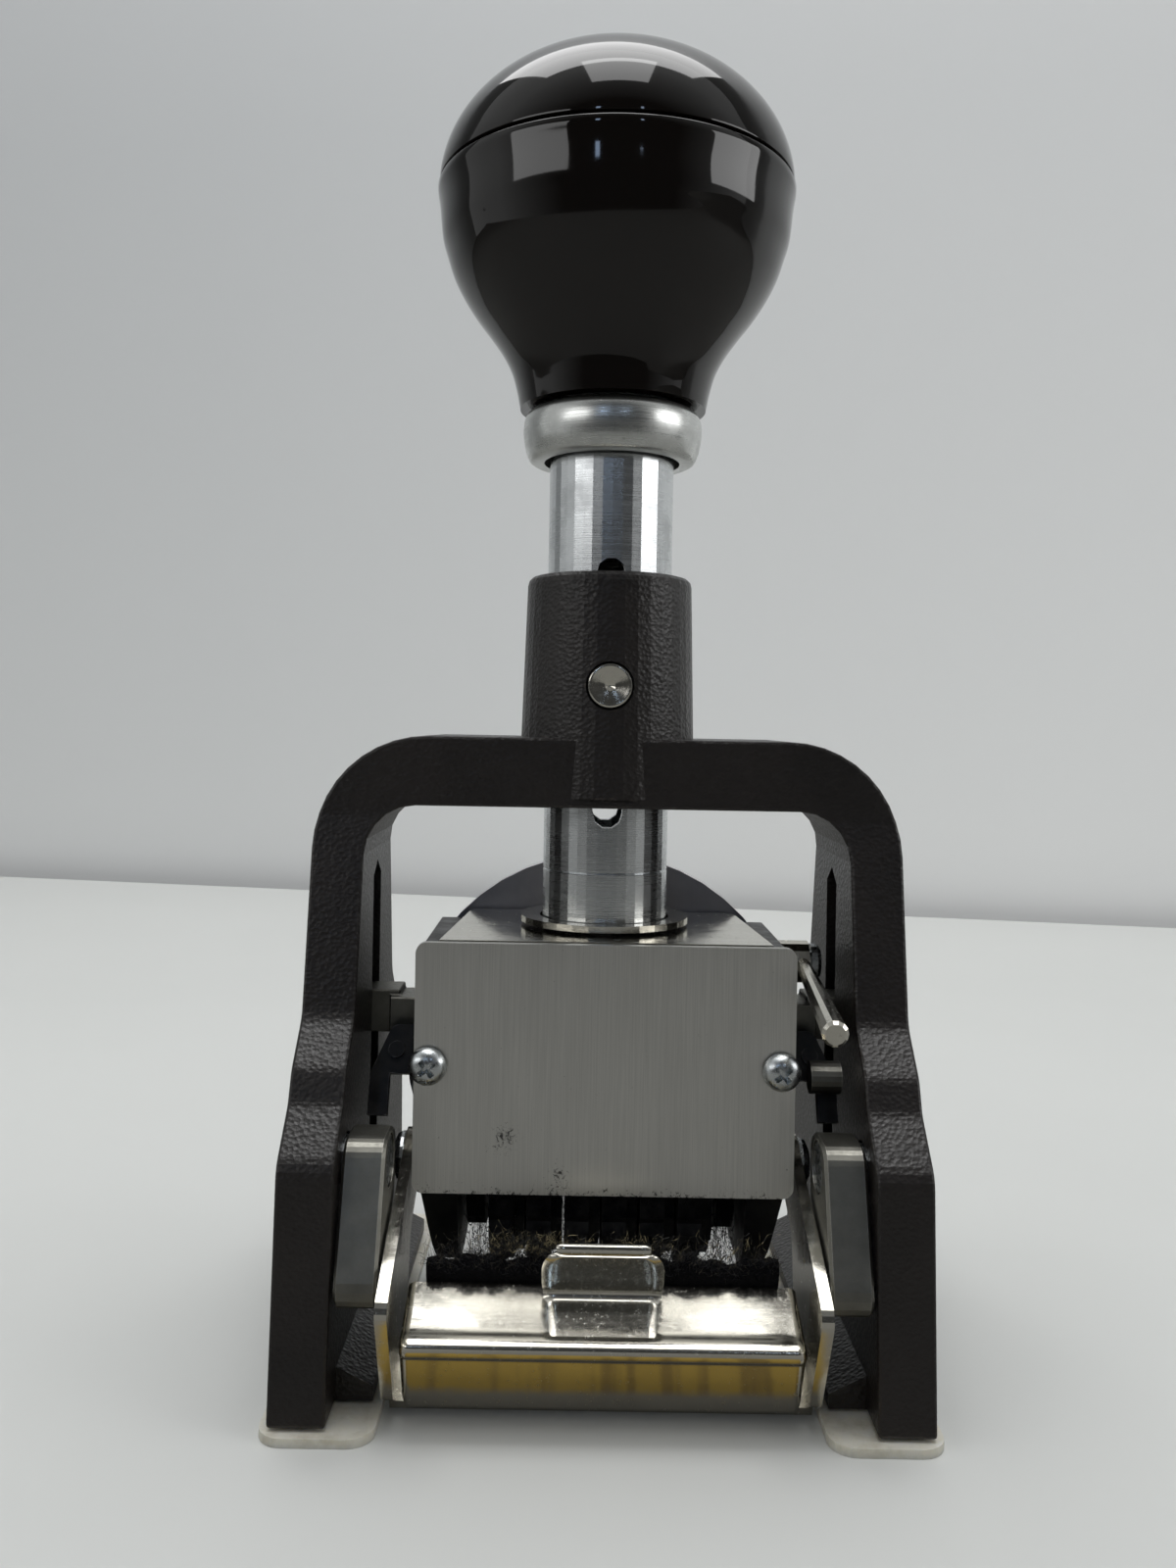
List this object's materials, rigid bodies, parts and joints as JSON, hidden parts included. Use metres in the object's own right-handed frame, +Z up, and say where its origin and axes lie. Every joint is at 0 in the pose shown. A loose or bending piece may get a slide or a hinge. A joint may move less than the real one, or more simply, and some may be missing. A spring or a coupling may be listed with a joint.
{
  "type": "numbering machine",
  "caption": "Hand numbering machine: cast arch frame, knobbed spring plunger, row of number wheels and an ink pad that swings clear as the plunger goes down",
  "frame": {"origin": "on the paper, under the plunger's axis, at the centre of the two foot pads", "axes": "+Z up along the plunger; +X to the operator's right; the operator and the nameplate at -Y"},
  "size_m": [0.064, 0.0546, 0.1413],
  "materials": {
    "frame_paint": "dark brown wrinkle paint on a casting, worn pale at the edges",
    "cream_rubber": "cream translucent rubber",
    "bright_nickel": "bright nickel plate",
    "turned_aluminium": "turned and polished aluminium",
    "tumbled_steel": "tumbled grey steel",
    "knob_plastic": "moulded gloss plastic, nearly black brown",
    "zinc_plate": "zinc plated steel",
    "black_oxide": "black oxide on steel",
    "brushed_plate": "vertically brushed aluminium sheet, bare",
    "satin_dial": "satin grey metal",
    "ink_felt": "ink-soaked felt"
  },
  "bodies": {
    "frame": {"frame": "frame_paint", "foot_pad_left": "cream_rubber", "foot_pad_right": "cream_rubber", "lever_pin_left": "zinc_plate", "lever_pin_right": "zinc_plate", "return_spring": "tumbled_steel"},
    "lock_pin": {"lock_pin": "bright_nickel", "lock_pin_ring": "bright_nickel"},
    "plunger": {"plunger_tube": "turned_aluminium", "tube_flange": "bright_nickel", "tube_foot_plug": "turned_aluminium", "tube_top_plug": "turned_aluminium", "collar": "turned_aluminium", "knob_body": "knob_plastic", "knob_cap": "knob_plastic", "knob_screw": "zinc_plate", "casing_top": "bright_nickel", "casing_bridge": "black_oxide", "cheek_left": "black_oxide", "cheek_right": "black_oxide", "plunger_screw": "zinc_plate", "tie_bar_front": "tumbled_steel", "tie_bar_rear": "tumbled_steel", "nameplate": "brushed_plate", "plate_screw_left": "zinc_plate", "plate_screw_right": "zinc_plate", "dial_plate": "satin_dial", "dial_screw_left": "zinc_plate", "dial_screw_right": "zinc_plate", "pointer_pivot": "zinc_plate", "guide_lug_left": "tumbled_steel", "guide_lug_right": "tumbled_steel", "side_bracket_left": "black_oxide", "side_bracket_right": "black_oxide", "bracket_stud": "tumbled_steel", "side_lever_stud": "zinc_plate", "wheel_shaft": "tumbled_steel", "detent_comb": "tumbled_steel", "carrier_stud_left": "zinc_plate", "carrier_stud_right": "zinc_plate"},
    "dial_pointer": {"dial_pointer": "bright_nickel", "pointer_knob": "bright_nickel"},
    "side_lever": {"side_lever": "bright_nickel"},
    "wheel_1": {"number_wheel_1": "black_oxide"},
    "wheel_2": {"number_wheel_2": "black_oxide"},
    "wheel_3": {"number_wheel_3": "black_oxide"},
    "wheel_4": {"number_wheel_4": "black_oxide"},
    "wheel_5": {"number_wheel_5": "black_oxide"},
    "wheel_6": {"number_wheel_6": "black_oxide"},
    "rocker": {"pawl_rocker": "black_oxide", "pawl_comb": "black_oxide"},
    "ink_carrier": {"ink_carrier": "bright_nickel"},
    "pad_tray": {"pad_tray": "bright_nickel", "ink_felt": "ink_felt"},
    "swing_lever_left": {"swing_lever_left": "tumbled_steel", "link_pin_left": "zinc_plate"},
    "swing_lever_right": {"swing_lever_right": "tumbled_steel", "link_pin_right": "zinc_plate"}
  },
  "joints": [
    {"name": "plunger_slide", "type": "slide", "parent": "frame", "child": "plunger", "axis": [0, 0, -1], "range_m": [-0.0123, 0.0069], "stiffness_N_per_m": 450, "springref_m": -0.006, "deforming": ["return_spring"]},
    {"name": "lock_pin_slide", "type": "slide", "parent": "frame", "child": "lock_pin", "axis": [0, -1, 0], "range_m": [0, 0.002]},
    {"name": "carrier_hinge", "type": "hinge", "parent": "plunger", "child": "ink_carrier", "pos_m": [0, -0.0062, 0.02], "axis": [1, 0, 0], "range_deg": [-37, 65]},
    {"name": "tray_slide", "type": "slide", "parent": "ink_carrier", "child": "pad_tray", "axis": [0, -0.4226, 0.9063], "range_m": [0, 0.008]},
    {"name": "swing_lever_left_hinge", "type": "hinge", "parent": "frame", "child": "swing_lever_left", "pos_m": [-0.0234, -0.0168, 0.0232], "axis": [1, 0, 0], "range_deg": [-37, 65]},
    {"name": "swing_lever_right_hinge", "type": "hinge", "parent": "frame", "child": "swing_lever_right", "pos_m": [0.0234, -0.0168, 0.0232], "axis": [1, 0, 0], "range_deg": [-37, 65]},
    {"name": "rocker_hinge", "type": "hinge", "parent": "plunger", "child": "rocker", "pos_m": [0, 0, 0.0166], "axis": [1, 0, 0], "range_deg": [-15, 26]},
    {"name": "wheel_1_spin", "type": "hinge", "parent": "plunger", "child": "wheel_1", "pos_m": [-0.01, 0, 0.0166], "axis": [1, 0, 0], "continuous": true},
    {"name": "wheel_2_spin", "type": "hinge", "parent": "plunger", "child": "wheel_2", "pos_m": [-0.006, 0, 0.0166], "axis": [1, 0, 0], "continuous": true},
    {"name": "wheel_3_spin", "type": "hinge", "parent": "plunger", "child": "wheel_3", "pos_m": [-0.002, 0, 0.0166], "axis": [1, 0, 0], "continuous": true},
    {"name": "wheel_4_spin", "type": "hinge", "parent": "plunger", "child": "wheel_4", "pos_m": [0.002, 0, 0.0166], "axis": [1, 0, 0], "continuous": true},
    {"name": "wheel_5_spin", "type": "hinge", "parent": "plunger", "child": "wheel_5", "pos_m": [0.006, 0, 0.0166], "axis": [1, 0, 0], "continuous": true},
    {"name": "wheel_6_spin", "type": "hinge", "parent": "plunger", "child": "wheel_6", "pos_m": [0.01, 0, 0.0166], "axis": [1, 0, 0], "continuous": true},
    {"name": "dial_pointer_hinge", "type": "hinge", "parent": "plunger", "child": "dial_pointer", "pos_m": [0, 0.012, 0.0279], "axis": [0, 1, 0], "range_deg": [-45, 45]},
    {"name": "side_lever_hinge", "type": "hinge", "parent": "plunger", "child": "side_lever", "pos_m": [0.0213, 0.0015, 0.0402], "axis": [1, 0, 0], "range_deg": [-8, 8]}
  ],
  "couplings": [
    {"joint": "carrier_hinge", "follows": "plunger_slide", "rad_per_m": -91.5},
    {"joint": "swing_lever_left_hinge", "follows": "plunger_slide", "rad_per_m": -90.8},
    {"joint": "swing_lever_right_hinge", "follows": "plunger_slide", "rad_per_m": -90.8},
    {"joint": "rocker_hinge", "follows": "plunger_slide", "rad_per_m": -36.1}
  ]
}
